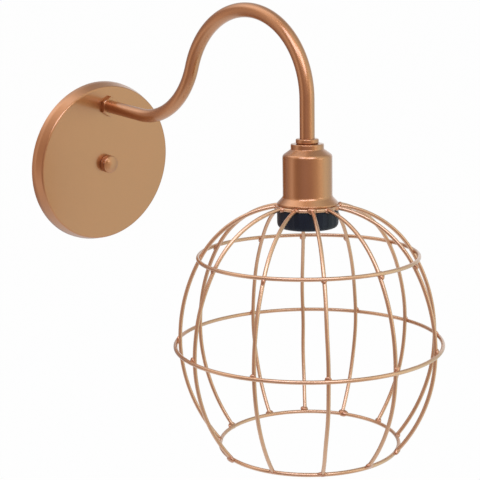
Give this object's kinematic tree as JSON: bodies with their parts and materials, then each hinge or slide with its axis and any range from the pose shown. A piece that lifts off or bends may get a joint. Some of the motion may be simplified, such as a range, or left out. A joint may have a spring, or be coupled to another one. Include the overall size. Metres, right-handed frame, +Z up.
{
  "type": "cage wall light",
  "caption": "Wall light with a round canopy, a swan-neck tube arm and an open globe of welded wire around a bare screw lampholder, in satin copper lacquer.",
  "frame": {"origin": "centre of the wall strap's back, on the wall plane, behind the middle of the canopy", "axes": "+Z up along the wall, +Y into the wall, -Y the way the light reaches out, +X to the right for someone facing the wall"},
  "size_m": [0.2334, 0.4202, 0.3794],
  "materials": {
    "copper_lacquer": "satin metallic copper lacquer on steel",
    "zinc_steel": "zinc-plated steel",
    "brass": "plain pressed brass",
    "black_plastic": "satin black phenolic plastic",
    "porcelain": "glazed porcelain"
  },
  "bodies": {
    "wall_mount": {"wall_strap": "zinc_steel", "strap_stud": "zinc_steel", "earth_screw": "brass", "earth_washer": "zinc_steel"},
    "fixture": {"canopy": "copper_lacquer", "arm_tube": "copper_lacquer", "arm_outer_nut": "copper_lacquer", "arm_inner_nut": "zinc_steel", "arm_lock_washer": "zinc_steel", "tube_bush": "black_plastic", "cup": "copper_lacquer", "cup_collar": "copper_lacquer", "nipple": "zinc_steel", "nipple_nut": "zinc_steel", "lampholder_body": "black_plastic", "lampholder_insert": "porcelain", "screw_shell": "brass"},
    "canopy_nut": {"canopy_nut": "copper_lacquer"},
    "contact": {"centre_contact": "brass"},
    "cage": {"neck_ring": "copper_lacquer", "rib_01": "copper_lacquer", "rib_02": "copper_lacquer", "rib_03": "copper_lacquer", "rib_04": "copper_lacquer", "rib_05": "copper_lacquer", "rib_06": "copper_lacquer", "rib_07": "copper_lacquer", "rib_08": "copper_lacquer", "rib_09": "copper_lacquer", "rib_10": "copper_lacquer", "rib_11": "copper_lacquer", "rib_12": "copper_lacquer", "top_ring": "copper_lacquer", "mid_ring": "copper_lacquer", "bottom_ring": "copper_lacquer"},
    "shade_ring": {"shade_ring": "black_plastic"}
  },
  "joints": [
    {"name": "canopy_draw", "type": "slide", "parent": "wall_mount", "child": "fixture", "axis": [0, -1, 0], "range_m": [0, 0.004]},
    {"name": "nut_turn", "type": "hinge", "parent": "fixture", "child": "canopy_nut", "pos_m": [0, -0.0165, 0], "axis": [0, -1, 0], "range_deg": [0, 2057.2]},
    {"name": "cage_drop", "type": "slide", "parent": "fixture", "child": "cage", "axis": [0, -0.1184, -0.993], "range_m": [0, 0.01]},
    {"name": "ring_turn", "type": "hinge", "parent": "cage", "child": "shade_ring", "pos_m": [0, -0.29137, 0.00848], "axis": [0, -0.1184, -0.993], "range_deg": [0, 1440.1]},
    {"name": "contact_press", "type": "slide", "parent": "fixture", "child": "contact", "axis": [0, 0.1184, 0.993], "range_m": [0, 0.0015], "stiffness_N_per_m": 2000, "springref_m": -0.0005}
  ],
  "couplings": [
    {"joint": "nut_turn", "follows": "canopy_draw", "rad_per_m": 8976},
    {"joint": "ring_turn", "follows": "cage_drop", "rad_per_m": 2513.3}
  ]
}
